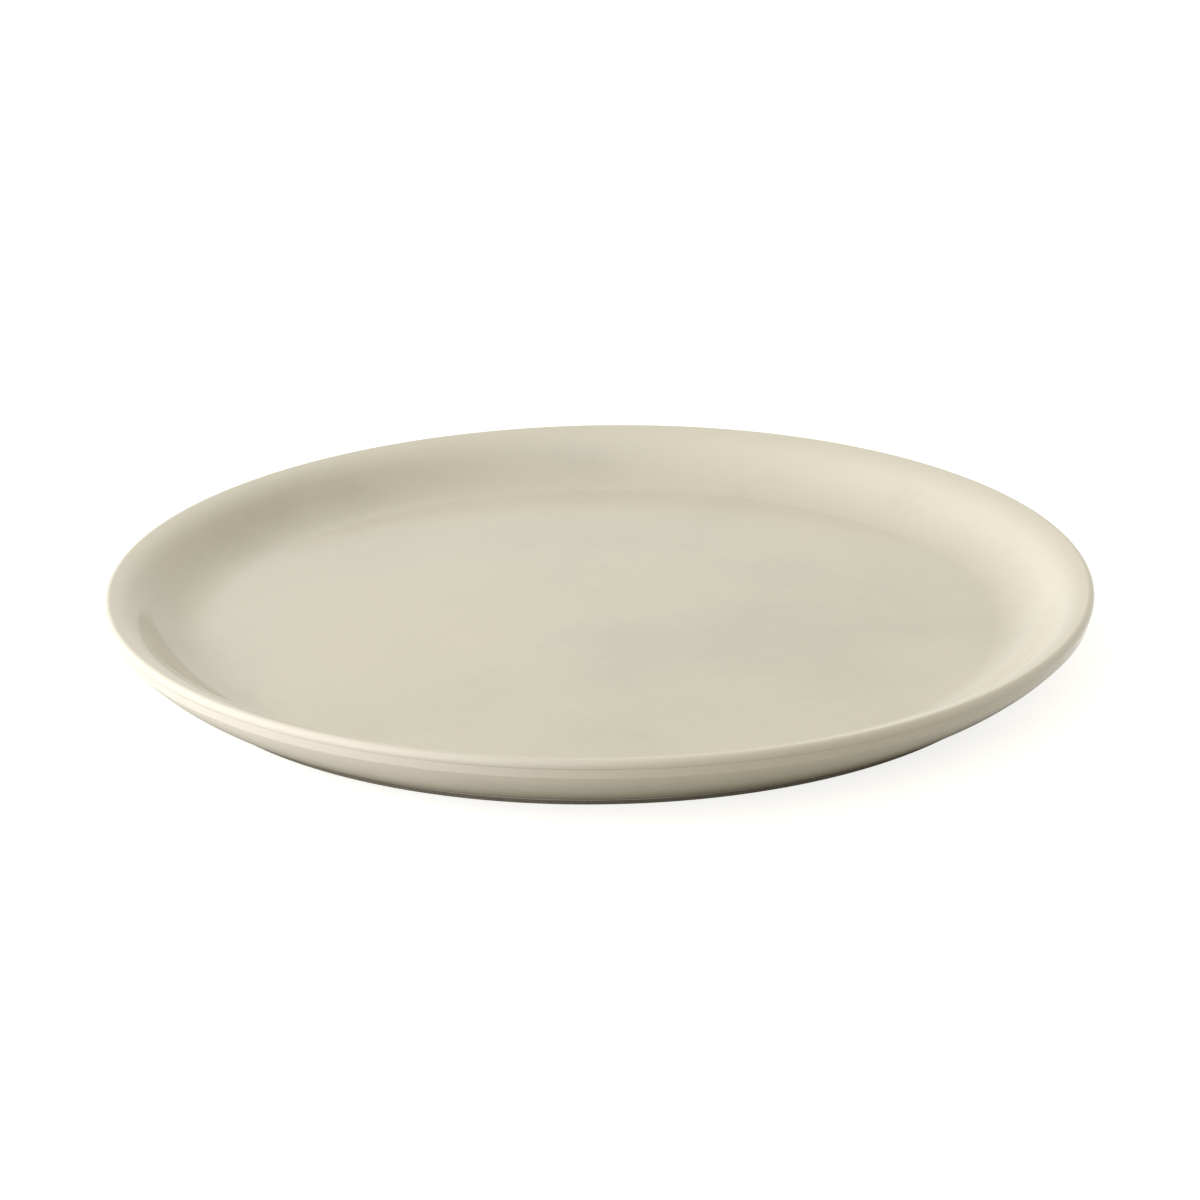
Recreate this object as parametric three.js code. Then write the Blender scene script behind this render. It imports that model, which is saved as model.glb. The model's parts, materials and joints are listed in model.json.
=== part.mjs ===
// Coupe pizza plate: a fired clay body under a cream gloss glaze, all turned about +Z.
// Millimetres, +Z up. The origin is the centre of the plate on the surface that it stands on.
import * as THREE from 'three';

// Driving dimensions of the finished, glazed plate
const PLATE_DIAMETER = 320;
const PLATE_HEIGHT = 21.5;
const BASE_THICKNESS = 5.2;

// Rim, measured in from the outermost edge and down from the crest of the lip
const RIM_WIDTH = 21.6;
const SHOULDER_INSET = 8.6;
const SHOULDER_DROP = 1.1;
const CREASE_DROP = 4.6;
const BAND_TAPER = THREE.MathUtils.degToRad(15);

// Underside between the crease and the foot ring: how far it swells out from a straight cone
const UNDERSIDE_SWELL = 3;

// Bare foot ring, measured in from the outermost edge, and wiped clear of glaze to a line above the table
const FOOT_INSET = 21.8;
const FOOT_WIDTH = 5.5;
const FOOT_HEIGHT = 2.4;
const NECK_HEIGHT = 1.8;
const WIPED_HEIGHT = 0.5;

// Radii of the rounded corners, from the well over the lip to the recess under the base
const WELL_RADIUS = 24;
const SHOULDER_RADIUS = 16;
const LIP_RADIUS = 3.1;
const CREASE_RADIUS = 0.8;
const UNDERSIDE_RADIUS = 50;
const NECK_RADIUS = 1.4;
const FOOT_EDGE_RADIUS = 0.4;
const RECESS_RADIUS = 1;

const GLAZE_THICKNESS = 0.4;

// Facets of the turned solids: sides round the axis, and how far a chord may lie from its arc
const TURN_SEGMENTS = 64;
const CHORD_GAP = 0.08;

// Share of a straight side that the arcs at its two ends may take up between them
const ARC_ROOM = 0.98;

const plateRadius = PLATE_DIAMETER / 2;
const floorHeight = FOOT_HEIGHT + BASE_THICKNESS;
const footRadius = plateRadius - FOOT_INSET;
const footInnerRadius = footRadius - FOOT_WIDTH;

const ORIGIN = new THREE.Vector2(0, 0);
const LEVEL = new THREE.Vector2(1, 0);

// Profile points are Vector2(radius from the axis, height). A profile runs from the axis over the top,
// round the lip and back underneath, so the clay or glaze is always on its right.
function corner(radius, height, rounding = 0) {
  return { at: new THREE.Vector2(radius, height), rounding };
}

function leftOf(direction) {
  return new THREE.Vector2(-direction.y, direction.x);
}

function sideOf(from, to) {
  return to.at.clone().sub(from.at);
}

// Turn of the line at each inner corner, to the left above zero, and how far its arc reaches along both
// sides. Where two arcs would meet on a short side, both shrink until they fit it.
function cornerTurns(corners) {
  const sides = corners.slice(1).map((to, i) => sideOf(corners[i], to));
  const turns = corners.map((_, i) => {
    const isEnd = i === 0 || i === corners.length - 1;
    return isEnd ? 0 : Math.atan2(sides[i - 1].cross(sides[i]), sides[i - 1].dot(sides[i]));
  });
  const wanted = corners.map(({ rounding }, i) => rounding * Math.tan(Math.abs(turns[i]) / 2));
  const room = sides.map((side, i) => Math.min(1, (ARC_ROOM * side.length()) / (wanted[i] + wanted[i + 1])));
  return corners.slice(1, -1).map((turnPoint, i) => {
    const reach = wanted[i + 1] * Math.min(room[i], room[i + 1]);
    return { turnPoint, turn: turns[i + 1], reach, arriving: sides[i].clone().normalize() };
  });
}

// One rounded corner, as the points of its arc with the outward normal at each
function roundCorner({ turnPoint, turn, reach, arriving }) {
  const side = Math.sign(turn);
  const arcRadius = reach / Math.tan(Math.abs(turn) / 2);
  const start = turnPoint.at.clone().addScaledVector(arriving, -reach);
  const centre = start.addScaledVector(leftOf(arriving), side * arcRadius);
  const stepAngle = 2 * Math.acos(Math.max(0, 1 - CHORD_GAP / arcRadius));
  const steps = Math.max(2, Math.ceil(Math.abs(turn) / stepAngle));
  return Array.from({ length: steps + 1 }, (_, step) => {
    const normal = leftOf(arriving).rotateAround(ORIGIN, (turn * step) / steps);
    const at = centre.clone().addScaledVector(normal, -side * arcRadius);
    return { at, normal };
  });
}

// A line of corners with each inner one rounded, as points with outward normals
function roundedProfile(corners) {
  const first = corners[0];
  const last = corners[corners.length - 1];
  const leaving = sideOf(first, corners[1]).normalize();
  const ending = sideOf(corners[corners.length - 2], last).normalize();
  return [
    { at: first.at, normal: leftOf(leaving) },
    ...cornerTurns(corners).flatMap(roundCorner),
    { at: last.at, normal: leftOf(ending) },
  ];
}

function offsetProfile(profile, distance) {
  return profile.map(({ at, normal }) => at.clone().addScaledVector(normal, distance));
}

function pointsOf(profile) {
  return profile.map(({ at }) => at);
}

// Direction of the straight line from a point that just touches the upper side of a circle
function tangentDirection(from, centre, radius) {
  const towards = centre.clone().sub(from);
  const angle = towards.angle() + Math.asin(radius / towards.length());
  return new THREE.Vector2(Math.cos(angle), Math.sin(angle));
}

function crossingPoint(from, direction, other, otherDirection) {
  const between = other.clone().sub(from);
  const along = between.cross(otherDirection) / direction.cross(otherDirection);
  return from.clone().addScaledVector(direction, along);
}

// Outer line of the glaze, from the middle of the floor to the wiped edge on the foot ring.
// The lip is a bead whose top is the crest and whose side is the outermost edge: the shoulder runs on to
// it without a break, and a short band leaves it, tapering in to the crease above the underside.
function coatLine() {
  const shoulder = new THREE.Vector2(plateRadius - SHOULDER_INSET, PLATE_HEIGHT - SHOULDER_DROP);
  const bead = new THREE.Vector2(plateRadius - LIP_RADIUS, PLATE_HEIGHT - LIP_RADIUS);
  const bandNormal = new THREE.Vector2(Math.cos(BAND_TAPER), -Math.sin(BAND_TAPER));
  const bandStart = bead.clone().addScaledVector(bandNormal, LIP_RADIUS);
  const upBand = leftOf(bandNormal);
  const overTop = tangentDirection(shoulder, bead, LIP_RADIUS);
  const lip = crossingPoint(shoulder, overTop, bandStart, upBand);
  const creaseLevel = new THREE.Vector2(0, PLATE_HEIGHT - CREASE_DROP);
  const crease = crossingPoint(creaseLevel, LEVEL, bandStart, upBand);

  const neck = new THREE.Vector2(footRadius + GLAZE_THICKNESS, NECK_HEIGHT);
  const underside = crease.clone().add(neck).multiplyScalar(0.5);
  const swellDirection = leftOf(neck.clone().sub(crease).normalize());
  underside.addScaledVector(swellDirection, UNDERSIDE_SWELL);

  return roundedProfile([
    corner(0, floorHeight),
    corner(plateRadius - RIM_WIDTH, floorHeight, WELL_RADIUS),
    corner(shoulder.x, shoulder.y, SHOULDER_RADIUS),
    corner(lip.x, lip.y, LIP_RADIUS),
    corner(crease.x, crease.y, CREASE_RADIUS),
    corner(underside.x, underside.y, UNDERSIDE_RADIUS),
    corner(neck.x, neck.y, NECK_RADIUS),
    corner(neck.x, WIPED_HEIGHT + GLAZE_THICKNESS),
  ]);
}

// Clay line under the base, from the wiped edge inside the foot ring to the axis
function recessLine() {
  return roundedProfile([
    corner(footInnerRadius, WIPED_HEIGHT + GLAZE_THICKNESS),
    corner(footInnerRadius, FOOT_HEIGHT, RECESS_RADIUS),
    corner(0, FOOT_HEIGHT),
  ]);
}

// Bearing face of the foot ring with its two eased edges
function footLine() {
  return roundedProfile([
    corner(footRadius, WIPED_HEIGHT),
    corner(footRadius, 0, FOOT_EDGE_RADIUS),
    corner(footInnerRadius, 0, FOOT_EDGE_RADIUS),
    corner(footInnerRadius, WIPED_HEIGHT),
  ]);
}

// A turned solid about +Z, from a profile that starts and ends on the axis with the material on its left
function turnedGeometry(profile) {
  return new THREE.LatheGeometry(profile, TURN_SEGMENTS).rotateX(Math.PI / 2);
}

// A layer on the clay has the clay's own line in its profile, run the same way, so that both solids get the
// same facets where they touch. That leaves the layer on the right of its profile, so its faces are reversed.
function layerGeometry(profile) {
  const geometry = turnedGeometry(profile);
  const corners = geometry.index.array;
  for (let i = 0; i < corners.length; i += 3) {
    [corners[i], corners[i + 1]] = [corners[i + 1], corners[i]];
  }
  return geometry;
}

function piece(name, geometry, material) {
  const mesh = new THREE.Mesh(geometry, material);
  mesh.name = name;
  return mesh;
}

function glaze() {
  return new THREE.MeshStandardMaterial({ color: '#d6d0bc', roughness: 0.14, metalness: 0 });
}

function firedClay() {
  return new THREE.MeshStandardMaterial({ color: '#d3c9b6', roughness: 0.75, metalness: 0 });
}

const coat = coatLine();
const recess = recessLine();
const clayUnderCoat = offsetProfile(coat, -GLAZE_THICKNESS).toReversed();
const clayOverBase = pointsOf(recess).toReversed();
const bareFoot = pointsOf(footLine()).toReversed();
const wipedInside = bareFoot[0];
const wipedOutside = bareFoot[bareFoot.length - 1];

const clayProfile = [...clayOverBase, ...bareFoot, ...clayUnderCoat];
const coatProfile = [...pointsOf(coat), wipedOutside, ...clayUnderCoat];
const baseProfile = [...clayOverBase, wipedInside, ...offsetProfile(recess, GLAZE_THICKNESS)];

const plate = new THREE.Group();
plate.add(piece('clay_body', turnedGeometry(clayProfile), firedClay()));
plate.add(piece('glaze_coat', layerGeometry(coatProfile), glaze()));
plate.add(piece('base_glaze', layerGeometry(baseProfile), glaze()));

export default plate;
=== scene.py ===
"""A glazed pizza plate, turned from its profile and set on a white studio floor."""

import json
import math
from typing import NamedTuple

import bpy
from bpy.props import FloatProperty, FloatVectorProperty, IntProperty, PointerProperty
from mathutils import Matrix, Quaternion, Vector


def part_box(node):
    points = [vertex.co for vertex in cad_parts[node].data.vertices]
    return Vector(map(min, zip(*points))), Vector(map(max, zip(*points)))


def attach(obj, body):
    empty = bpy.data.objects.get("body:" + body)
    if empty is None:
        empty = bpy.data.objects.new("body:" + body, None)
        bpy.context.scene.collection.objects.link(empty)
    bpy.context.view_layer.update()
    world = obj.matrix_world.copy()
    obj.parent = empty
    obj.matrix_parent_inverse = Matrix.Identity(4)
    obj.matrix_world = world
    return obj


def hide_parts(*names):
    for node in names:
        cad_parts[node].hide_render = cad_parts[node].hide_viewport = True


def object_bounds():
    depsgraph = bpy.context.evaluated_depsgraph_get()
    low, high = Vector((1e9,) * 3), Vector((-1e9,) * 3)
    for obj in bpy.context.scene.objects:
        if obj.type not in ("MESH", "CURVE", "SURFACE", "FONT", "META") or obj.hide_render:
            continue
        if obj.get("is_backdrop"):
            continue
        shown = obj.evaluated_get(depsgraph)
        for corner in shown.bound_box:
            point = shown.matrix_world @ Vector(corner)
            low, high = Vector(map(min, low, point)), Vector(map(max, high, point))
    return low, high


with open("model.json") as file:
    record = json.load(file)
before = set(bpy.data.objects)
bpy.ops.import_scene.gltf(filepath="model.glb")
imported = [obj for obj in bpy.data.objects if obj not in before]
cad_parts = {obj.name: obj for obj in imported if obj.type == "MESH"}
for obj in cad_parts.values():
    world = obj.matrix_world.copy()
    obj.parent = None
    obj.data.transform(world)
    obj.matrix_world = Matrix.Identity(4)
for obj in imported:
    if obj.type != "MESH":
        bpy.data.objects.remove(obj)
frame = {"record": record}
cad_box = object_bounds()

bl_info = {
    "name": "Turned Pizza Plate",
    "version": (1, 0, 0),
    "blender": (4, 5, 0),
    "location": "View3D > Sidebar > Plate",
    "description": "Turns a glazed coupe plate from its profile and sets it in a white studio",
    "category": "Add Mesh",
}

MM = 0.001

# How much higher the lip's crest and the wiped edge lie than in the solids
LIP_RISE = 0.9 * MM
WIPED_RISE = 0.88 * MM

coat_low, coat_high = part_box("glaze_coat")
_, clay_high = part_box("clay_body")
_, base_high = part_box("base_glaze")


def mount_height(name):
    """Height above the table of one of the record's mounts."""
    return next(mount["pos_m"][2] for mount in frame["record"]["mounts"] if mount["name"] == name)


def linear(hex_colour):
    """Linear red, green and blue of an sRGB hex colour."""
    channels = [int(hex_colour[i:i + 2], 16) / 255 for i in (1, 3, 5)]
    return tuple(c / 12.92 if c <= 0.04045 else ((c + 0.055) / 1.055) ** 2.4 for c in channels)


def length(name, description, default):
    """A property for a length in metres."""
    return FloatProperty(
        name=name,
        description=description,
        default=default,
        min=0,
        precision=5,
        subtype="DISTANCE",
        unit="LENGTH",
    )


def angle(name, description, degrees):
    """A property for an angle."""
    return FloatProperty(
        name=name,
        description=description,
        default=math.radians(degrees),
        subtype="ANGLE",
        unit="ROTATION",
    )


def colour(name, description, hex_colour):
    """A property for a colour."""
    return FloatVectorProperty(
        name=name,
        description=description,
        default=linear(hex_colour),
        min=0,
        max=1,
        size=3,
        subtype="COLOR",
    )


# Settings that a user would change

class PlateSizes(bpy.types.PropertyGroup):
    """Sizes of the turned profile and of its small unevenness."""

    plate_radius: length("Plate radius", "From the axis to the outermost edge of the lip", coat_high.x)
    plate_height: length("Plate height", "From the table to the crest of the lip", coat_high.z + LIP_RISE)
    floor_height: length("Floor height", "From the table to the well's floor", mount_height("well_floor"))
    rim_width: length("Rim width", "From the outermost edge in to the foot of the wall", 21.6 * MM)
    shoulder_inset: length("Shoulder inset", "From the outermost edge in to the top of the wall", 8.6 * MM)
    shoulder_drop: length("Shoulder drop", "From the crest down to the top of the wall", 1.6 * MM)
    crease_drop: length("Crease drop", "From the crest down to the crease under the lip's band", 5.9 * MM)
    band_taper: angle("Band taper", "Lean of the band under the lip, in towards the crease", 15)
    underside_swell: length("Underside swell", "How far the underside swells out from a cone", 3 * MM)
    neck_height: length("Neck height", "From the table to where the underside meets the foot ring", 1.8 * MM)
    foot_inner_radius: length("Foot inner radius", "From the axis to the foot ring's inside", base_high.x)
    foot_width: length("Foot width", "Width of the clay foot ring", 5.5 * MM)
    recess_height: length("Recess height", "From the table to the clay under the base", base_high.z)
    wiped_height: length(
        "Wiped height", "From the table to the edge of the glaze on the foot", coat_low.z + WIPED_RISE
    )
    glaze_thickness: length("Glaze thickness", "Thickness of the glaze layers", coat_high.x - clay_high.x)
    well_radius: length("Well radius", "Rounding between the floor and the wall", 24 * MM)
    shoulder_radius: length("Shoulder radius", "Rounding at the top of the wall", 16 * MM)
    lip_radius: length("Lip radius", "Rounding of the lip's bead", 1.8 * MM)
    line_gap: length("Line gap", "From the bead down to the fine line under it", 0.05 * MM)
    line_depth: length("Line depth", "Depth of the fine line between the bead and the band", 0.05 * MM)
    line_width: length("Line width", "Width of the fine line between the bead and the band", 1 * MM)
    line_radius: length("Line radius", "Rounding of the fine line", 1.2 * MM)
    crease_radius: length("Crease radius", "Rounding of the crease under the band", 0.8 * MM)
    underside_radius: length("Underside radius", "Rounding of the swelling underside", 50 * MM)
    neck_radius: length("Neck radius", "Rounding where the underside meets the foot ring", 1.4 * MM)
    foot_edge_radius: length("Foot edge radius", "Rounding of the foot ring's two edges", 0.4 * MM)
    recess_radius: length("Recess radius", "Rounding inside the foot ring", 1 * MM)
    turn_steps: IntProperty(
        name="Turn steps", description="Sides of the turned pieces round the axis", default=256, min=16
    )
    floor_ring_radius: length("Floor ring radius", "Outer radius of the low swell in the floor", 120 * MM)
    floor_rise: length("Floor rise", "Height of the low swell in the floor", 0.3 * MM)
    rim_warp: length("Rim warp", "How far firing has pulled the rim up and down", 0.7 * MM)
    glaze_unevenness: length("Glaze unevenness", "How far the glaze varies in thickness", 0.04 * MM)
    unevenness_size: length("Unevenness size", "Width of the thicker and thinner patches", 38 * MM)
    edge_wander: length("Edge wander", "How far the wiped edge of the glaze runs up and down", 0.15 * MM)
    wander_size: length("Wander size", "Distance along the foot between turns of the wiped edge", 14 * MM)


class PlateFinish(bpy.types.PropertyGroup):
    """Colours of the glaze, the clay and the studio floor. The pooled glaze and the clay carry painted
    shade.
    """

    glaze: colour("Glaze", "Cream glaze at its usual thickness", "#D6CFB8")
    # Pooled glaze: gathered glaze in hollows, and also painted shade that darkens the creases
    pooled_glaze_and_shade: colour("Pooled glaze", "Glaze that has gathered in a hollow", "#C6BFAA")
    thin_glaze: colour("Thin glaze", "Glaze that has run thin over an edge", "#D8D0B9")
    # The clay and its grains are darker than the clay's own buff: painted shade for the contact shadow round
    # the foot ring
    clay: colour("Clay", "Bare fired clay", "#77705A")
    clay_grain: colour("Clay grain", "Coarser grains in the bare clay", "#605A47")
    floor: colour("Studio floor", "Matt pale paper under the plate", "#BBB7A7")


class StageSettings(bpy.types.PropertyGroup):
    """Where the camera stands and how bright the studio is."""

    camera_distance: length("Camera distance", "From the middle of the plate to the camera", 1.5)
    camera_elevation: angle("Camera elevation", "Angle of the camera above the table", 20.62)
    camera_roll: angle("Camera roll", "Turn of the camera about its line of sight", -0.67)
    camera_aim: FloatVectorProperty(
        name="Camera aim",
        description="Point that is in the middle of the picture",
        default=(0.3 * MM, 39.3 * MM, 0),
        subtype="TRANSLATION",
        unit="LENGTH",
    )
    focal_length: FloatProperty(
        name="Focal length", description="Focal length of the lens", default=138.06, min=1, unit="CAMERA"
    )
    dome_level: FloatProperty(
        name="Dome level", description="Soft light from all round, as a share of white", default=0.795, min=0
    )
    dome_lean: FloatVectorProperty(
        name="Dome lean",
        description="The way in which the soft light grows, and by what share",
        default=(-0.52, 0.47, 0),
        subtype="XYZ",
    )
    floor_glow: FloatProperty(
        name="Floor glow", description="Light that whitens the floor where it is seen", default=0.8, min=0
    )


# Profiles: points as (distance from the axis, height), run with the material on the right

# How far an arc's steps may leave it and the fewest of them, the longest straight run, and the share of a
# side that the arcs at its ends may take
ARC_GAP = 0.004 * MM
LEAST_ARC_STEPS = 6
LONGEST_RUN = 4 * MM
ARC_ROOM = 0.98


class Corner(NamedTuple):
    """A corner of a profile and the radius that rounds it."""

    at: Vector
    rounding: float = 0


class ProfilePoint(NamedTuple):
    """A point of a rounded profile, with the direction out of the material and the curvature there, which is
    above zero in a hollow."""

    at: Vector
    normal: Vector
    hollow: float = 0


def corner(radius, height, rounding=0):
    """A corner at a distance from the axis and a height."""
    return Corner(Vector((radius, height)), rounding)


def turn_between(side, next_side):
    """Signed angle from one side to the next, to the left above zero."""
    return math.atan2(side.cross(next_side), side.dot(next_side))


def arc_points(turn_point, turn, reach, arriving):
    """Points of the arc that rounds one corner, reaching as far as given along both sides."""
    side = math.copysign(1, turn)
    arc_radius = reach / math.tan(abs(turn) / 2)
    outwards = arriving.orthogonal()
    centre = turn_point - arriving * reach + outwards * side * arc_radius
    step_angle = 2 * math.acos(max(0, 1 - ARC_GAP / arc_radius))
    steps = max(LEAST_ARC_STEPS, math.ceil(abs(turn) / step_angle))
    for step in range(steps + 1):
        normal = Matrix.Rotation(turn * step / steps, 2) @ outwards
        yield ProfilePoint(centre - normal * side * arc_radius, normal, side / arc_radius)


def rounded_line(corners):
    """Profile points along a line of corners. Arcs that would meet on a short side shrink to fit it."""
    sides = [after.at - before.at for before, after in zip(corners, corners[1:])]
    turns = [0, *map(turn_between, sides, sides[1:]), 0]
    wanted = [point.rounding * math.tan(abs(turn) / 2) for point, turn in zip(corners, turns)]
    room = [
        min(1, ARC_ROOM * side.length / (before + after))
        for side, before, after in zip(sides, wanted, wanted[1:])
    ]
    points = [ProfilePoint(corners[0].at, sides[0].normalized().orthogonal())]
    for i in range(1, len(corners) - 1):
        reach = wanted[i] * min(room[i - 1], room[i])
        points += arc_points(corners[i].at, turns[i], reach, sides[i - 1].normalized())
    points.append(ProfilePoint(corners[-1].at, sides[-1].normalized().orthogonal()))
    return points


def filled(points):
    """The same line with its long straight runs cut into short ones."""
    result = [points[0]]
    for before, after in zip(points, points[1:]):
        steps = math.ceil((after.at - before.at).length / LONGEST_RUN)
        for step in range(1, steps):
            result.append(ProfilePoint(before.at.lerp(after.at, step / steps), before.normal))
        result.append(after)
    return result


def offset_line(points, distance):
    """The line moved out of the material, or into it below zero."""
    return [ProfilePoint(p.at + p.normal * distance, p.normal, p.hollow) for p in points]


def tangent_direction(start, centre, radius):
    """Direction of the line from a point that just touches the upper side of a circle."""
    towards = centre - start
    bearing = math.atan2(towards.y, towards.x) + math.asin(radius / towards.length)
    return Vector((math.cos(bearing), math.sin(bearing)))


def crossing_point(start, direction, other, other_direction):
    """Where two lines cross."""
    along = (other - start).cross(other_direction) / direction.cross(other_direction)
    return start + direction * along


def foot_radius(sizes):
    """From the axis to the outside of the clay foot ring."""
    return sizes.foot_inner_radius + sizes.foot_width


def coat_line(sizes):
    """Outer line of the glaze, from the middle of the floor over the lip to the foot ring."""
    level = Vector((1, 0))
    shoulder = Vector((sizes.plate_radius - sizes.shoulder_inset, sizes.plate_height - sizes.shoulder_drop))
    bead = Vector((sizes.plate_radius - sizes.lip_radius, sizes.plate_height - sizes.lip_radius))
    band_normal = Vector((math.cos(sizes.band_taper), -math.sin(sizes.band_taper)))
    band_start = bead + band_normal * sizes.lip_radius
    up_band = band_normal.orthogonal()
    over_top = tangent_direction(shoulder, bead, sizes.lip_radius)
    lip = crossing_point(shoulder, over_top, band_start, up_band)
    line_top = band_start - up_band * sizes.line_gap
    line_bottom = line_top - up_band * sizes.line_width
    line_middle = (line_top + line_bottom) / 2 - band_normal * sizes.line_depth
    crease_level = Vector((0, sizes.plate_height - sizes.crease_drop))
    crease = crossing_point(crease_level, level, band_start, up_band)

    neck = Vector((foot_radius(sizes) + sizes.glaze_thickness, sizes.neck_height))
    swell_direction = (neck - crease).normalized().orthogonal()
    underside = (crease + neck) / 2 + swell_direction * sizes.underside_swell
    return filled(rounded_line([
        corner(0, sizes.floor_height),
        corner(sizes.plate_radius - sizes.rim_width, sizes.floor_height, sizes.well_radius),
        Corner(shoulder, sizes.shoulder_radius),
        Corner(lip, sizes.lip_radius),
        Corner(line_top, sizes.line_radius),
        Corner(line_middle, sizes.line_radius),
        Corner(line_bottom, sizes.line_radius),
        Corner(crease, sizes.crease_radius),
        Corner(underside, sizes.underside_radius),
        Corner(neck, sizes.neck_radius),
        corner(neck.x, sizes.wiped_height + sizes.glaze_thickness),
    ]))


def recess_line(sizes):
    """Clay line under the base, from the wiped edge inside the foot ring to the axis."""
    return filled(rounded_line([
        corner(sizes.foot_inner_radius, sizes.wiped_height + sizes.glaze_thickness),
        corner(sizes.foot_inner_radius, sizes.recess_height, sizes.recess_radius),
        corner(0, sizes.recess_height),
    ]))


def foot_line(sizes):
    """Bearing face of the foot ring with its two eased edges, from the outside in."""
    outside = foot_radius(sizes)
    return filled(rounded_line([
        corner(outside, sizes.wiped_height),
        corner(outside, 0, sizes.foot_edge_radius),
        corner(sizes.foot_inner_radius, 0, sizes.foot_edge_radius),
        corner(sizes.foot_inner_radius, sizes.wiped_height),
    ]))


def glaze_edge(sizes, clay_radius, glaze_radius):
    """Rounded edge of a glaze layer where it was wiped off the foot ring, from the clay to the glaze."""
    return rounded_line([
        corner(clay_radius, sizes.wiped_height),
        corner(glaze_radius, sizes.wiped_height, sizes.glaze_thickness),
        corner(glaze_radius, sizes.wiped_height + sizes.glaze_thickness),
    ])


# Geometry Nodes tree that turns a profile

def add_node(tree, kind, inputs=None, **settings):
    """Adds a node with its settings. An input is a value, the socket that feeds it, or a node whose first
    output feeds it."""
    node = tree.nodes.new(kind)
    for name, value in settings.items():
        setattr(node, name, value)
    for key, source in (inputs or {}).items():
        if isinstance(source, bpy.types.Node):
            source = source.outputs[0]
        if isinstance(source, bpy.types.NodeSocket):
            tree.links.new(source, node.inputs[key])
        else:
            node.inputs[key].default_value = source
    return node


TURNING_INPUTS = {
    "Profile": "NodeSocketGeometry",
    "Turn Steps": "NodeSocketInt",
    "Foot Radius": "NodeSocketFloat",
    "Plate Radius": "NodeSocketFloat",
    "Floor Ring Radius": "NodeSocketFloat",
    "Floor Rise": "NodeSocketFloat",
    "Rim Warp": "NodeSocketFloat",
    "Glaze Unevenness": "NodeSocketFloat",
    "Unevenness Size": "NodeSocketFloat",
    "Wiped Height": "NodeSocketFloat",
    "Edge Wander": "NodeSocketFloat",
    "Wander Size": "NodeSocketFloat",
    "Material": "NodeSocketMaterial",
}

# The rim's high places and where they lie, how near points are welded, how far above the wiped edge its
# wander fades out, and how often the hollows are blurred
RIM_WAVES = 2
WARP_PHASE = math.radians(-135)
WELD_DISTANCE = 0.005 * MM
WANDER_REACH = 0.4 * MM
HOLLOW_BLUR = 8


class Whereabouts(NamedTuple):
    """Where a point of a turned piece is, as sockets of the tree."""

    place: bpy.types.NodeSocket
    level: bpy.types.NodeSocket
    radius: bpy.types.NodeSocket
    height: bpy.types.NodeSocket
    bearing: bpy.types.NodeSocket


def whereabouts(tree):
    """A point's place, its place on the level, its distance from the axis, its height and its bearing."""
    place = add_node(tree, "GeometryNodeInputPosition").outputs["Position"]
    axes = add_node(tree, "ShaderNodeSeparateXYZ", {0: place}).outputs
    level = add_node(tree, "ShaderNodeVectorMath", {0: place, 1: (1, 1, 0)}, operation="MULTIPLY")
    radius = add_node(tree, "ShaderNodeVectorMath", {0: level}, operation="LENGTH")
    bearing = add_node(tree, "ShaderNodeMath", {0: axes["Y"], 1: axes["X"]}, operation="ARCTAN2")
    return Whereabouts(place, level.outputs[0], radius.outputs["Value"], axes["Z"], bearing.outputs[0])


def turned_grid(tree, given):
    """A grid bent round the axis, with a column for each point of the profile and a row for each step."""
    profile = given["Profile"]
    count = add_node(tree, "GeometryNodeAttributeDomainSize", {"Geometry": profile}).outputs["Point Count"]
    rows = add_node(tree, "ShaderNodeMath", {0: given["Turn Steps"], 1: 1}, operation="ADD")
    grid = add_node(
        tree, "GeometryNodeMeshGrid", {"Size X": 1, "Size Y": 1, "Vertices X": count, "Vertices Y": rows}
    )
    place = add_node(tree, "GeometryNodeInputPosition")
    from_corner = add_node(tree, "ShaderNodeVectorMath", {0: place, 1: (0.5, 0.5, 0)}, operation="ADD")
    share = add_node(tree, "ShaderNodeSeparateXYZ", {0: from_corner}).outputs
    last = add_node(tree, "ShaderNodeMath", {0: count, 1: 1}, operation="SUBTRACT")
    along = add_node(tree, "ShaderNodeMath", {0: share["X"], 1: last}, operation="MULTIPLY")
    index = add_node(tree, "ShaderNodeMath", {0: along}, operation="ROUND")
    bearing = add_node(tree, "ShaderNodeMath", {0: share["Y"], 1: 2 * math.pi}, operation="MULTIPLY")

    # The profile's own values go on to the grid before it is bent
    body = grid
    for name in ("glaze_face", "hollow"):
        value = add_node(tree, "GeometryNodeInputNamedAttribute", {"Name": name}, data_type="FLOAT")
        sample = add_node(
            tree, "GeometryNodeSampleIndex", {"Geometry": profile, "Value": value, "Index": index}
        )
        body = add_node(
            tree, "GeometryNodeStoreNamedAttribute", {"Geometry": body, "Name": name, "Value": sample}
        )
    point = add_node(
        tree,
        "GeometryNodeSampleIndex",
        {"Geometry": profile, "Value": place, "Index": index},
        data_type="FLOAT_VECTOR",
    )
    turned = add_node(
        tree, "ShaderNodeVectorRotate", {"Vector": point, "Angle": bearing}, rotation_type="Z_AXIS"
    )
    body = add_node(tree, "GeometryNodeSetPosition", {"Geometry": body, "Position": turned})
    return add_node(tree, "GeometryNodeMergeByDistance", {"Geometry": body, "Distance": WELD_DISTANCE})


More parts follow.
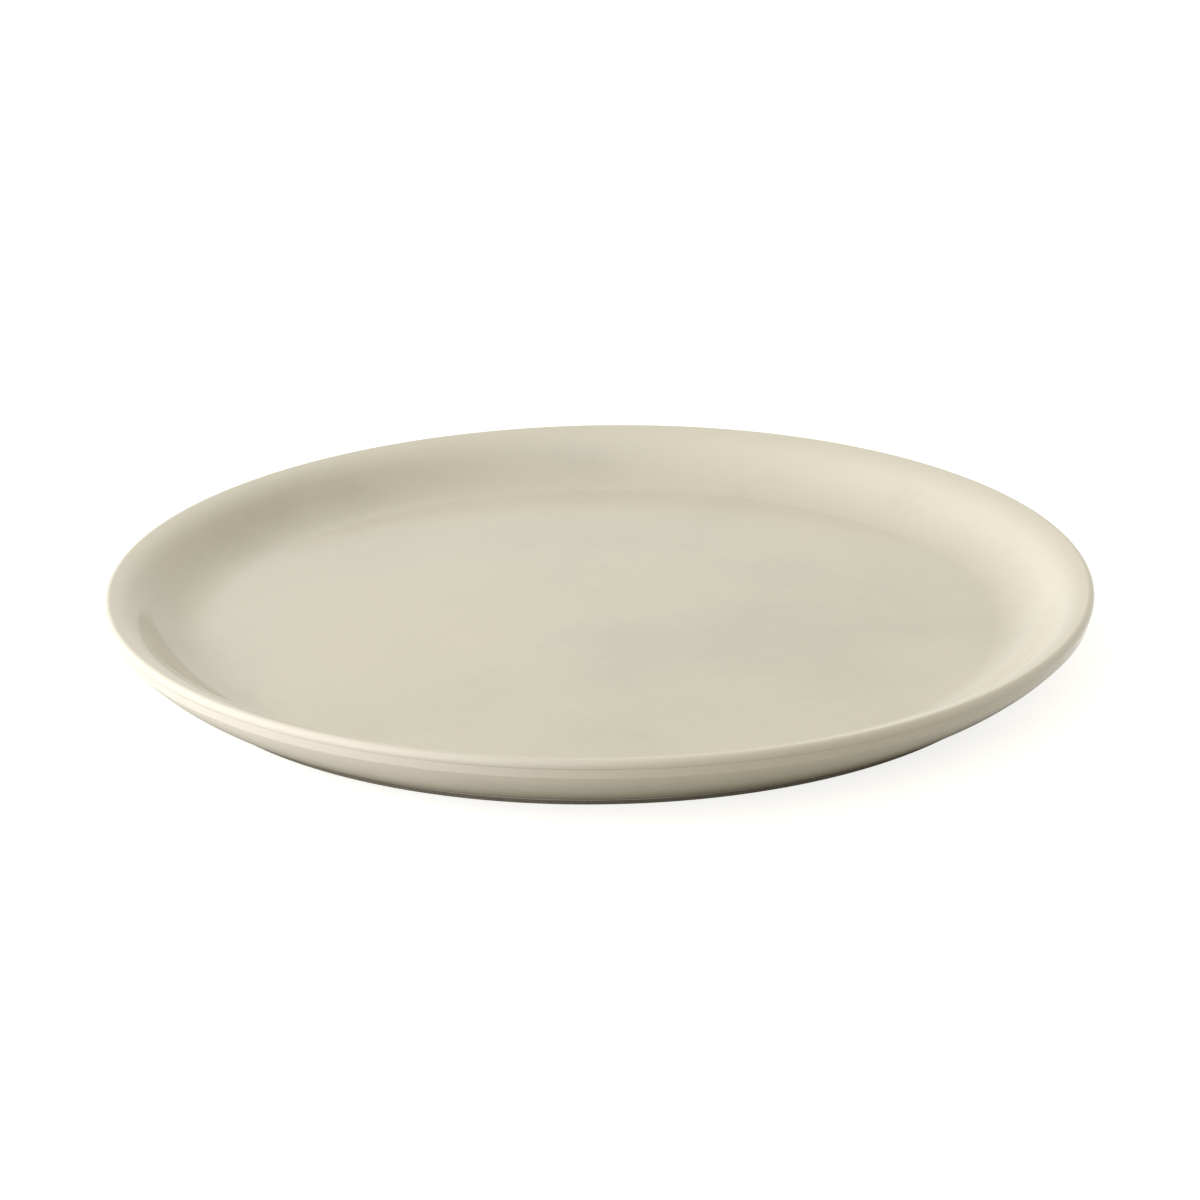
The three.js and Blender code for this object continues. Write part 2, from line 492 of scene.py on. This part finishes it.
def firing_lift(tree, given, spot):
    """How far the wheel and the firing lift a point: a low swell in the floor, and two high and two low
    places round the rim."""
    swell_angle = add_node(
        tree,
        "ShaderNodeMapRange",
        {"Value": spot.radius, "From Max": given["Floor Ring Radius"], "To Max": math.pi},
    )
    swell_sine = add_node(tree, "ShaderNodeMath", {0: swell_angle}, operation="SINE")
    swell = add_node(tree, "ShaderNodeMath", {0: swell_sine, 1: 2}, operation="POWER")
    rise = add_node(tree, "ShaderNodeMath", {0: swell, 1: given["Floor Rise"]}, operation="MULTIPLY")
    rim_share = add_node(
        tree,
        "ShaderNodeMapRange",
        {"Value": spot.radius, "From Min": given["Foot Radius"], "From Max": given["Plate Radius"]},
    )
    rim_weight = add_node(tree, "ShaderNodeMath", {0: rim_share, 1: 2}, operation="POWER")
    warp_angle = add_node(
        tree, "ShaderNodeMath", {0: spot.bearing, 1: RIM_WAVES, 2: WARP_PHASE}, operation="MULTIPLY_ADD"
    )
    warp_wave = add_node(tree, "ShaderNodeMath", {0: warp_angle}, operation="COSINE")
    warp = add_node(tree, "ShaderNodeMath", {0: rim_weight, 1: warp_wave}, operation="MULTIPLY")
    return add_node(
        tree, "ShaderNodeMath", {0: warp, 1: given["Rim Warp"], 2: rise}, operation="MULTIPLY_ADD"
    )


def wiped_edge_lift(tree, given, spot):
    """How far the wiped edge of the glaze runs up the foot ring at a point, by chance."""
    scale = add_node(tree, "ShaderNodeMath", {0: 1, 1: given["Wander Size"]}, operation="DIVIDE")
    chance = add_node(tree, "ShaderNodeTexNoise", {"Vector": spot.level, "Scale": scale, "Detail": 1})
    top = add_node(tree, "ShaderNodeMath", {0: given["Wiped Height"], 1: WANDER_REACH}, operation="ADD")
    weight = add_node(
        tree,
        "ShaderNodeMapRange",
        {
            "Value": spot.height,
            "From Min": given["Wiped Height"],
            "From Max": top,
            "To Min": given["Edge Wander"],
            "To Max": 0,
        },
    )
    return add_node(tree, "ShaderNodeMath", {0: chance, 1: weight}, operation="MULTIPLY")


def glaze_shift(tree, given, spot):
    """How the glaze's own face stands out or in where it lies thicker or thinner by chance."""
    scale = add_node(tree, "ShaderNodeMath", {0: 1, 1: given["Unevenness Size"]}, operation="DIVIDE")
    patches = add_node(
        tree, "ShaderNodeTexNoise", {"Vector": spot.place, "Scale": scale, "Detail": 1}, normalize=False
    )
    glaze_face = add_node(
        tree, "GeometryNodeInputNamedAttribute", {"Name": "glaze_face"}, data_type="FLOAT"
    )
    most = add_node(
        tree, "ShaderNodeMath", {0: glaze_face, 1: given["Glaze Unevenness"]}, operation="MULTIPLY"
    )
    extra = add_node(tree, "ShaderNodeMath", {0: patches, 1: most}, operation="MULTIPLY")
    normal = add_node(tree, "GeometryNodeInputNormal")
    return add_node(tree, "ShaderNodeVectorMath", {0: normal, "Scale": extra}, operation="SCALE")


def turning_tree():
    """Turns a profile about the upright axis and gives it the unevenness of hand finishing and firing."""
    tree = bpy.data.node_groups.new("turned ceramic", "GeometryNodeTree")
    for name, kind in TURNING_INPUTS.items():
        tree.interface.new_socket(name, in_out="INPUT", socket_type=kind)
    tree.interface.new_socket("Piece", in_out="OUTPUT", socket_type="NodeSocketGeometry")
    given = add_node(tree, "NodeGroupInput").outputs
    body = turned_grid(tree, given)

    spot = whereabouts(tree)
    firing = firing_lift(tree, given, spot)
    wiping = wiped_edge_lift(tree, given, spot)
    lift = add_node(tree, "ShaderNodeMath", {0: firing, 1: wiping}, operation="ADD")
    upwards = add_node(tree, "ShaderNodeCombineXYZ", {"Z": lift})
    outwards = glaze_shift(tree, given, spot)
    moved = add_node(tree, "ShaderNodeVectorMath", {0: upwards, 1: outwards}, operation="ADD")
    body = add_node(tree, "GeometryNodeSetPosition", {"Geometry": body, "Offset": moved})

    # Glaze gathers in hollows and runs thin over edges, which has no sharp border. The darker tone it gives
    # hollows is also painted shade in the creases
    hollow = add_node(tree, "GeometryNodeInputNamedAttribute", {"Name": "hollow"}, data_type="FLOAT")
    spread = add_node(
        tree, "GeometryNodeBlurAttribute", {"Value": hollow, "Iterations": HOLLOW_BLUR}, data_type="FLOAT"
    )
    body = add_node(
        tree, "GeometryNodeStoreNamedAttribute", {"Geometry": body, "Name": "hollow", "Value": spread}
    )
    smooth = add_node(tree, "GeometryNodeSetShadeSmooth", {"Geometry": body})
    whole = add_node(tree, "GeometryNodeRealizeInstances", {"Geometry": smooth})
    finished = add_node(
        tree, "GeometryNodeSetMaterial", {"Geometry": whole, "Material": given["Material"]}
    )
    add_node(tree, "NodeGroupOutput", {"Piece": finished})
    return tree


def profile_object(name, points, glaze_faces):
    """An object whose mesh is the profile as a line, with the values that the turned piece takes from it."""
    mesh = bpy.data.meshes.new(name)
    edges = [(i, i + 1) for i in range(len(points) - 1)]
    mesh.from_pydata([(p.at.x, 0, p.at.y) for p in points], edges, [])
    # Curvature per millimetre, on the faces of the glaze alone
    hollows = [p.hollow * MM * face for p, face in zip(points, glaze_faces)]
    for attribute, values in (("glaze_face", glaze_faces), ("hollow", hollows)):
        mesh.attributes.new(attribute, "FLOAT", "POINT").data.foreach_set("value", values)
    line = bpy.data.objects.new(name, mesh)
    bpy.context.scene.collection.objects.link(line)
    return line


def turned_piece(name, layers, material, wander):
    """A closed piece turned from (line, whether it is a face of the glaze) layers, as a plain mesh."""
    sizes = bpy.context.scene.plate_sizes
    points = [p for line, _ in layers for p in line]
    faces = [float(is_glaze) for line, is_glaze in layers for _ in line]
    maker = profile_object(name + "_profile", points, faces)
    tree = bpy.data.node_groups.get("turned ceramic") or turning_tree()
    modifier = maker.modifiers.new("turned ceramic", "NODES")
    modifier.node_group = tree
    values = {
        "Turn Steps": sizes.turn_steps,
        "Foot Radius": foot_radius(sizes),
        "Plate Radius": sizes.plate_radius,
        "Floor Ring Radius": sizes.floor_ring_radius,
        "Floor Rise": sizes.floor_rise,
        "Rim Warp": sizes.rim_warp,
        "Glaze Unevenness": sizes.glaze_unevenness,
        "Unevenness Size": sizes.unevenness_size,
        "Wiped Height": sizes.wiped_height,
        "Edge Wander": wander,
        "Wander Size": sizes.wander_size,
        "Material": material,
    }
    for socket in tree.interface.items_tree:
        if socket.name in values:
            modifier[socket.identifier] = values[socket.name]
    evaluated = maker.evaluated_get(bpy.context.evaluated_depsgraph_get())
    mesh = bpy.data.meshes.new_from_object(evaluated)
    bpy.data.objects.remove(maker)
    if not mesh.polygons:
        raise RuntimeError(f"{name} came out with no faces")
    mesh.name = name
    piece = bpy.data.objects.new(name, mesh)
    bpy.context.scene.collection.objects.link(piece)
    return piece


# Materials

# Glaze: its gloss, the width and depth of its flow marks, and the patches over which its thickness drifts
GLAZE_IOR = 1.52
GLAZE_SHEEN = 0.14
GLAZE_ROUGHNESS = 0.14
ROUGHNESS_DRIFT = 0.02
DULL_WIDTH = 16 * MM
FLOW_WIDTH = 9 * MM
FLOW_DEPTH = 0.006 * MM
FINE_WIDTH = 30 * MM
FINE_SHARE = 0.1
BROAD_WIDTH = 90 * MM
BROAD_SHARE = -0.36
BROAD_PHASE = 72.5
MOST_GATHERED = 0.6

# Clay: its dry face, the grain's width, depth and dark range, and the rings that the sponge leaves
CLAY_IOR = 1.5
CLAY_ROUGHNESS = 0.82
GRAIN_WIDTH = 0.8 * MM
GRAIN_DEPTH = 0.06 * MM
DARK_GRAIN_FROM = 0.5
DARK_GRAIN_TO = 0.75
RING_SPACING = 1.1 * MM
RING_SHARE = 0.2

# Paper: how far out from the foot ring its glow starts to show in a gloss; nearer in, a painted shadow of
# the plate keeps it dark
SHADE_WIDTH = 4.8 * MM


def new_material(name):
    """A material with an empty node tree."""
    material = bpy.data.materials.new(name)
    material.use_nodes = True
    material.node_tree.nodes.clear()
    return material


def glaze_material():
    """Cream gloss glaze, dipped and fired: an even, deep gloss whose colour drifts a little with its
    thickness, darker in creases partly as painted shade, with the faint slow waviness of glass that has
    flowed."""
    found = bpy.data.materials.get("cream_gloss_glaze_dipped")
    if found:
        return found
    finish = bpy.context.scene.plate_finish
    material = new_material("cream_gloss_glaze_dipped")
    tree = material.node_tree
    place = add_node(tree, "ShaderNodeTexCoord").outputs["Object"]

    # Thickness: hollows hold more glaze and edges less, and it drifts over fine and broad patches. The
    # darker tone in hollows is partly painted shade in the creases, such as the neck over the foot ring
    hollow = add_node(tree, "ShaderNodeAttribute", attribute_name="hollow").outputs["Fac"]
    fine_drift = add_node(
        tree,
        "ShaderNodeTexNoise",
        {"Vector": place, "Scale": 1 / FINE_WIDTH, "Detail": 5, "Roughness": 0.75},
        normalize=False,
    )
    broad_drift = add_node(
        tree,
        "ShaderNodeTexNoise",
        {"Vector": place, "W": BROAD_PHASE, "Scale": 1 / BROAD_WIDTH, "Detail": 1},
        noise_dimensions="4D",
        normalize=False,
    )
    depth = hollow
    for drift, share in ((fine_drift, FINE_SHARE), (broad_drift, BROAD_SHARE)):
        depth = add_node(tree, "ShaderNodeMath", {0: drift, 1: share, 2: depth}, operation="MULTIPLY_ADD")
    gathered_and_shaded = add_node(
        tree, "ShaderNodeMapRange", {"Value": depth, "From Min": -MOST_GATHERED, "From Max": MOST_GATHERED}
    )
    cream = add_node(tree, "ShaderNodeValToRGB", {"Fac": gathered_and_shaded})
    stops = cream.color_ramp.elements
    stops.new(0.5)
    for stop, tone in zip(stops, (finish.thin_glaze, finish.glaze, finish.pooled_glaze_and_shade)):
        stop.color = (*tone, 1)

    # Gloss: wide, very shallow flow marks, and slightly duller patches
    flow = add_node(tree, "ShaderNodeTexNoise", {"Vector": place, "Scale": 1 / FLOW_WIDTH, "Detail": 1})
    bump = add_node(tree, "ShaderNodeBump", {"Strength": 1, "Distance": FLOW_DEPTH, "Height": flow})
    dulling = add_node(tree, "ShaderNodeTexNoise", {"Vector": place, "Scale": 1 / DULL_WIDTH, "Detail": 2})
    roughness = add_node(
        tree,
        "ShaderNodeMapRange",
        {
            "Value": dulling,
            "To Min": GLAZE_ROUGHNESS - ROUGHNESS_DRIFT,
            "To Max": GLAZE_ROUGHNESS + ROUGHNESS_DRIFT,
        },
    )
    shader = add_node(
        tree,
        "ShaderNodeBsdfPrincipled",
        {
            "Base Color": cream,
            "Roughness": roughness,
            "IOR": GLAZE_IOR,
            "Specular IOR Level": GLAZE_SHEEN,
            "Normal": bump,
        },
    )
    add_node(tree, "ShaderNodeOutputMaterial", {"Surface": shader})
    return material


def clay_material():
    """Fired clay, turned and wiped bare: dry and matt, with fine grain, a few darker grains and faint
    rings left by the sponge. Its colour is darkened as painted shade, for the contact shadow round the foot
    ring."""
    finish = bpy.context.scene.plate_finish
    material = new_material("fired_clay_wiped")
    tree = material.node_tree
    place = add_node(tree, "ShaderNodeTexCoord").outputs["Object"]

    # Grain, the coarsest of it darker
    grain = add_node(tree, "ShaderNodeTexNoise", {"Vector": place, "Scale": 1 / GRAIN_WIDTH, "Detail": 4})
    specks = add_node(
        tree, "ShaderNodeMapRange", {"Value": grain, "From Min": DARK_GRAIN_FROM, "From Max": DARK_GRAIN_TO}
    )
    body = add_node(tree, "ShaderNodeValToRGB", {"Fac": specks})
    for stop, tone in zip(body.color_ramp.elements, (finish.clay, finish.clay_grain)):
        stop.color = (*tone, 1)

    # Sponge rings round the axis
    level = add_node(tree, "ShaderNodeVectorMath", {0: place, 1: (1, 1, 0)}, operation="MULTIPLY")
    radius = add_node(tree, "ShaderNodeVectorMath", {0: level}, operation="LENGTH").outputs["Value"]
    turn = add_node(tree, "ShaderNodeMath", {0: radius, 1: 2 * math.pi / RING_SPACING}, operation="MULTIPLY")
    ring = add_node(tree, "ShaderNodeMath", {0: turn}, operation="SINE")
    height = add_node(tree, "ShaderNodeMath", {0: ring, 1: RING_SHARE, 2: grain}, operation="MULTIPLY_ADD")
    bump = add_node(tree, "ShaderNodeBump", {"Strength": 1, "Distance": GRAIN_DEPTH, "Height": height})
    shader = add_node(
        tree,
        "ShaderNodeBsdfPrincipled",
        {"Base Color": body, "Roughness": CLAY_ROUGHNESS, "IOR": CLAY_IOR, "Normal": bump},
    )
    add_node(tree, "ShaderNodeOutputMaterial", {"Surface": shader})
    return material


def floor_material():
    """Matt pale studio paper. It is lifted to white where it is seen, but in a gloss a painted shadow keeps
    it dim under the plate. It keeps the plate's shadow, and is clear from below so that the underside can be
    looked at."""
    sizes = bpy.context.scene.plate_sizes
    finish = bpy.context.scene.plate_finish
    stage = bpy.context.scene.plate_stage
    material = new_material("matt_pale_paper")
    material.cycles.emission_sampling = "NONE"
    tree = material.node_tree
    place = add_node(tree, "ShaderNodeTexCoord").outputs["Object"]
    distance = add_node(tree, "ShaderNodeVectorMath", {0: place}, operation="LENGTH").outputs["Value"]
    # Painted shadow: in a gloss the glow fades out from the plate's edge in towards the foot ring
    shade_edge = foot_radius(sizes) + SHADE_WIDTH
    glow_outside_painted_shadow = add_node(
        tree,
        "ShaderNodeMapRange",
        {"Value": distance, "From Min": shade_edge, "From Max": sizes.plate_radius},
    )
    seen = seen_ray(tree, glow_outside_painted_shadow)
    glow = add_node(tree, "ShaderNodeMath", {0: seen, 1: stage.floor_glow}, operation="MULTIPLY")
    paper = add_node(tree, "ShaderNodeBsdfDiffuse", {"Color": (*finish.floor, 1)})
    light = add_node(tree, "ShaderNodeEmission", {"Strength": glow})
    lit = add_node(tree, "ShaderNodeAddShader", {0: paper, 1: light})
    below = add_node(tree, "ShaderNodeNewGeometry").outputs["Backfacing"]
    clear = add_node(tree, "ShaderNodeBsdfTransparent")
    shown = add_node(tree, "ShaderNodeMixShader", {0: below, 1: lit, 2: clear})
    add_node(tree, "ShaderNodeOutputMaterial", {"Surface": shown})
    return material


def seen_ray(tree, gloss_share=1):
    """1 for rays that are seen straight or through something clear, and a share for those in a gloss."""
    path = add_node(tree, "ShaderNodeLightPath").outputs
    seen = add_node(
        tree, "ShaderNodeMath", {0: path["Is Glossy Ray"], 1: gloss_share}, operation="MULTIPLY"
    )
    for also in ("Is Camera Ray", "Is Transmission Ray"):
        seen = add_node(tree, "ShaderNodeMath", {0: seen, 1: path[also]}, operation="MAXIMUM")
    return seen


# Stage

# The paper's radius in metres, and how far it reaches in under the foot ring
FLOOR_REACH = 12
FLOOR_LAP = 0.6 * MM

# Colours of the lamps and of the soft light from all round
DAYLIGHT = "#E2E5FF"
SOFT_WHITE = "#FFFFF9"


class Softbox(NamedTuple):
    """A lamp behind white cloth that points at the plate: its bearing and elevation in degrees, its
    distance and size in metres, its power in watts, and whether a gloss shows it."""

    name: str
    bearing: float
    elevation: float
    distance: float
    size: tuple
    watts: float
    in_gloss: bool = False


SOFTBOXES = (
    Softbox("high_left_softbox", 192, 28, 0.9, (0.4, 0.25), 3.1),
    Softbox("left_softbox", 206, 5, 1.2, (0.6, 0.16), 6.9),
    Softbox("low_left_strip", 225, 3, 1.2, (0.6, 0.1), 2.4, in_gloss=True),
    Softbox("right_softbox", -15, 4, 1.3, (0.8, 0.16), 3.5),
)


def direction_of(bearing, elevation):
    """Unit vector of a bearing from +X towards +Y and an elevation above the table, in radians."""
    level = math.cos(elevation)
    return Vector((math.cos(bearing) * level, math.sin(bearing) * level, math.sin(elevation)))


def add_softbox(softbox):
    """One lamp, turned towards the middle of the plate and hidden from the camera."""
    lamp = bpy.data.lights.new(softbox.name, "AREA")
    lamp.shape = "RECTANGLE"
    lamp.size, lamp.size_y = softbox.size
    lamp.energy = softbox.watts
    lamp.color = linear(DAYLIGHT)
    holder = bpy.data.objects.new(softbox.name, lamp)
    outwards = direction_of(math.radians(softbox.bearing), math.radians(softbox.elevation))
    holder.location = outwards * softbox.distance
    holder.rotation_euler = (-outwards).to_track_quat("-Z", "Y").to_euler()
    holder.visible_camera = False
    holder.visible_glossy = softbox.in_gloss
    bpy.context.scene.collection.objects.link(holder)


def add_world(stage):
    """White where it is seen, straight or in a gloss, and a leaning dome of soft light on the plate."""
    world = bpy.data.worlds.new("white studio")
    world.use_nodes = True
    world.cycles.sampling_method = "NONE"
    tree = world.node_tree
    tree.nodes.clear()
    direction = add_node(tree, "ShaderNodeTexCoord").outputs["Generated"]
    lean = add_node(
        tree, "ShaderNodeVectorMath", {0: direction, 1: stage.dome_lean}, operation="DOT_PRODUCT"
    ).outputs["Value"]
    level = add_node(
        tree, "ShaderNodeMath", {0: lean, 1: stage.dome_level, 2: stage.dome_level}, operation="MULTIPLY_ADD"
    )
    white = add_node(tree, "ShaderNodeBackground", {"Color": (1, 1, 1, 1), "Strength": 1})
    dome = add_node(
        tree, "ShaderNodeBackground", {"Color": (*linear(SOFT_WHITE), 1), "Strength": level}
    )
    shown = add_node(tree, "ShaderNodeMixShader", {0: seen_ray(tree), 1: dome, 2: white})
    add_node(tree, "ShaderNodeOutputWorld", {"Surface": shown})
    bpy.context.scene.world = world


def add_camera(stage):
    """The camera, in front of the plate and above it."""
    lens = bpy.data.cameras.new("camera")
    lens.lens = stage.focal_length
    camera = bpy.data.objects.new("camera", lens)
    camera.location = direction_of(-math.pi / 2, stage.camera_elevation) * stage.camera_distance
    sight = (Vector(stage.camera_aim) - camera.location).to_track_quat("-Z", "Y")
    camera.rotation_euler = (sight @ Quaternion((0, 0, 1), stage.camera_roll)).to_euler()
    bpy.context.scene.collection.objects.link(camera)
    bpy.context.scene.camera = camera


def add_floor(sizes):
    """A round sheet of paper. The foot ring stands over a hole in it, so that light reaches the base when it
    is looked at from below."""
    mesh = bpy.data.meshes.new("studio_floor")
    steps = sizes.turn_steps
    hole = foot_radius(sizes) - FLOOR_LAP
    spokes = [direction_of(2 * math.pi * step / steps, 0) for step in range(steps)]
    edges = [spoke * radius for radius in (hole, FLOOR_REACH) for spoke in spokes]
    following = [*range(1, steps), 0]
    quads = [(i, steps + i, steps + after, after) for i, after in enumerate(following)]
    mesh.from_pydata(edges, [], quads)
    mesh.materials.append(floor_material())
    floor = bpy.data.objects.new("studio_floor", mesh)
    bpy.context.scene.collection.objects.link(floor)
    floor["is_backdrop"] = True


# Operators

def stand_for(piece, node):
    """Sets a piece in the frame in place of a solid, and hides the solid."""
    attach(piece, "root")
    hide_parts(node)


class PLATE_OT_turn_clay_body(bpy.types.Operator):
    """Turn the fired clay body of the plate"""

    bl_idname = "plate.turn_clay_body"
    bl_label = "Turn clay body"

    def execute(self, context):
        sizes = context.scene.plate_sizes
        under_coat = offset_line(coat_line(sizes), -sizes.glaze_thickness)
        layers = [(under_coat, False), (foot_line(sizes), False), (recess_line(sizes), False)]
        piece = turned_piece("fired_clay_body", layers, clay_material(), 0)
        stand_for(piece, "clay_body")
        return {"FINISHED"}


class PLATE_OT_turn_glaze_coat(bpy.types.Operator):
    """Turn the glaze over the well, the lip and the outside of the plate"""

    bl_idname = "plate.turn_glaze_coat"
    bl_label = "Turn glaze coat"

    def execute(self, context):
        sizes = context.scene.plate_sizes
        coat = coat_line(sizes)
        foot_outside = foot_radius(sizes)
        edge = glaze_edge(sizes, foot_outside, foot_outside + sizes.glaze_thickness)
        under_coat = offset_line(coat, -sizes.glaze_thickness)
        layers = [(coat[:-1], True), (edge[::-1], True), (under_coat[::-1], False)]
        piece = turned_piece("cream_glaze_coat", layers, glaze_material(), sizes.edge_wander)
        stand_for(piece, "glaze_coat")
        return {"FINISHED"}


class PLATE_OT_turn_base_glaze(bpy.types.Operator):
    """Turn the glaze under the base, inside the foot ring"""

    bl_idname = "plate.turn_base_glaze"
    bl_label = "Turn base glaze"

    def execute(self, context):
        sizes = context.scene.plate_sizes
        recess = recess_line(sizes)
        edge = glaze_edge(sizes, sizes.foot_inner_radius, sizes.foot_inner_radius - sizes.glaze_thickness)
        glaze = offset_line(recess, sizes.glaze_thickness)
        layers = [(recess[::-1], False), (edge, True), (glaze[1:], True)]
        piece = turned_piece("cream_base_glaze", layers, glaze_material(), sizes.edge_wander)
        stand_for(piece, "base_glaze")
        return {"FINISHED"}


class PLATE_OT_set_stage(bpy.types.Operator):
    """Set up the white floor, the soft lamps and the camera"""

    bl_idname = "plate.set_stage"
    bl_label = "Set stage"

    def execute(self, context):
        stage = context.scene.plate_stage
        context.scene.view_settings.view_transform = "Standard"
        add_floor(context.scene.plate_sizes)
        add_world(stage)
        for softbox in SOFTBOXES:
            add_softbox(softbox)
        add_camera(stage)
        return {"FINISHED"}


class PLATE_PT_build(bpy.types.Panel):
    """Sizes and colours of the plate, and the steps that build it"""

    bl_idname = "PLATE_PT_build"
    bl_label = "Pizza plate"
    bl_space_type = "VIEW_3D"
    bl_region_type = "UI"
    bl_category = "Plate"

    def draw(self, context):
        layout = self.layout
        scene = context.scene
        for operator in OPERATORS:
            layout.operator(operator.bl_idname)
        for group in (scene.plate_sizes, scene.plate_finish, scene.plate_stage):
            box = layout.box()
            for name in group.__annotations__:
                box.prop(group, name)


OPERATORS = (PLATE_OT_turn_clay_body, PLATE_OT_turn_glaze_coat, PLATE_OT_turn_base_glaze, PLATE_OT_set_stage)
GROUPS = {"plate_sizes": PlateSizes, "plate_finish": PlateFinish, "plate_stage": StageSettings}


def register():
    for kind in (*GROUPS.values(), *OPERATORS, PLATE_PT_build):
        bpy.utils.register_class(kind)
    for name, group in GROUPS.items():
        setattr(bpy.types.Scene, name, PointerProperty(type=group))


def unregister():
    for name in GROUPS:
        delattr(bpy.types.Scene, name)
    for kind in reversed((*GROUPS.values(), *OPERATORS, PLATE_PT_build)):
        bpy.utils.unregister_class(kind)


def main():
    """Builds the plate and its stage."""
    register()
    bpy.ops.plate.turn_clay_body()
    bpy.ops.plate.turn_glaze_coat()
    bpy.ops.plate.turn_base_glaze()
    bpy.ops.plate.set_stage()
    boxes = {"cad": cad_box, "visual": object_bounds()}
    {name: [list(low), list(high)] for name, (low, high) in boxes.items()}


if __name__ == "__main__":
    main()
